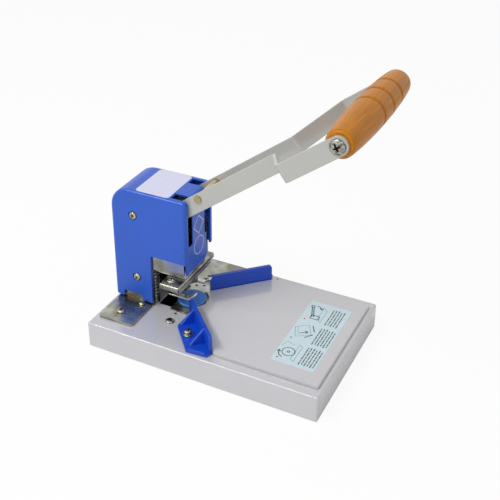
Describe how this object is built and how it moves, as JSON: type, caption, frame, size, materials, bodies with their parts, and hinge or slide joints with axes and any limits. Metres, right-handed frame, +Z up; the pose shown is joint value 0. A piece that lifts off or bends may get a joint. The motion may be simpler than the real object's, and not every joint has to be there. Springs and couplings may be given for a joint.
{
  "type": "corner rounder",
  "caption": "Bench corner rounder: a two-arm lever with a wooden grip drives a curved blade through a paper stack held by 45 degree guides on a steel base.",
  "frame": {"origin": "middle of the overall length and width, on the surface that the feet stand on", "axes": "+X from the head along the base to its open end, where the grip ends; +Y to the rear; +Z up"},
  "size_m": [0.2774, 0.17, 0.3057],
  "materials": {
    "grey_paint": "semi-gloss light grey paint",
    "blue_plastic": "moulded blue plastic, fine satin",
    "disc_plastic": "blue pad plastic, satin",
    "zinc_steel": "zinc plated",
    "ground_steel": "ground bright",
    "arm_paint": "smooth warm grey paint",
    "varnished_wood": "clear gloss varnish",
    "bronze": "machined",
    "yellow_zinc": "yellow zinc",
    "rubber": "matt",
    "cover_plastic": "matt black"
  },
  "bodies": {
    "base": {"base_tray": "grey_paint", "bed_plate": "grey_paint", "bottom_cover": "cover_plastic", "die_plate": "zinc_steel", "housing": "blue_plastic", "pivot_pin": "ground_steel", "stripper_fork": "ground_steel", "stripper_screw": "zinc_steel", "frame_spacer_upper": "ground_steel", "frame_spacer_lower": "ground_steel", "foot_front_left": "rubber", "foot_front_right": "rubber", "foot_rear_left": "rubber", "foot_rear_right": "rubber", "foot_screw_front_left": "zinc_steel", "foot_screw_front_right": "zinc_steel", "foot_screw_rear_left": "zinc_steel", "foot_screw_rear_right": "zinc_steel", "guide_front": "blue_plastic", "guide_screw_front": "zinc_steel", "plate_screw_front": "zinc_steel", "frame_front": "zinc_steel", "frame_screw_front": "zinc_steel", "frame_rivet_front": "yellow_zinc", "housing_screw_upper_front": "yellow_zinc", "housing_screw_lower_front": "yellow_zinc", "guide_post_front": "ground_steel", "return_spring_front": "ground_steel", "guide_rear": "blue_plastic", "guide_screw_rear": "zinc_steel", "plate_screw_rear": "zinc_steel", "frame_rear": "zinc_steel", "frame_screw_rear": "zinc_steel", "frame_rivet_rear": "yellow_zinc", "housing_screw_upper_rear": "yellow_zinc", "housing_screw_lower_rear": "yellow_zinc", "guide_post_rear": "ground_steel", "return_spring_rear": "ground_steel"},
    "lever": {"lever_arm_front": "arm_paint", "lever_arm_rear": "arm_paint", "pivot_tube": "ground_steel", "drive_pin": "ground_steel", "arm_spacer": "yellow_zinc", "handle_rod": "ground_steel", "handle_screw_front": "zinc_steel", "handle_screw_rear": "zinc_steel"},
    "grip": {"handle_grip": "varnished_wood"},
    "ram": {"ram": "ground_steel", "ram_bushing_front": "bronze", "ram_bushing_rear": "bronze", "crosshead": "ground_steel", "crosshead_bolt_front": "ground_steel", "crosshead_bolt_rear": "ground_steel", "blade_carrier": "ground_steel", "carrier_screw_front": "zinc_steel", "carrier_screw_rear": "zinc_steel", "blade": "ground_steel"},
    "disc": {"cutting_disc": "disc_plastic", "disc_screw": "zinc_steel"}
  },
  "joints": [
    {"name": "lever_swing", "type": "hinge", "parent": "base", "child": "lever", "pos_m": [-0.11469, 0, 0.11], "axis": [0, 1, 0], "range_deg": [0, 26.5]},
    {"name": "grip_turn", "type": "hinge", "parent": "lever", "child": "grip", "pos_m": [0.12219, 0, 0.28915], "axis": [0, 1, 0], "continuous": true},
    {"name": "ram_slide", "type": "slide", "parent": "base", "child": "ram", "axis": [0, 0, -1], "range_m": [0, 0.013], "stiffness_N_per_m": 2500, "springref_m": -0.02, "deforming": ["return_spring_front", "return_spring_rear"]},
    {"name": "disc_turn", "type": "hinge", "parent": "base", "child": "disc", "pos_m": [-0.05969, 0, 0.0334], "axis": [0, 0, 1], "continuous": true}
  ],
  "couplings": [
    {"joint": "ram_slide", "follows": "lever_swing", "m_per_rad": 0.028101}
  ]
}
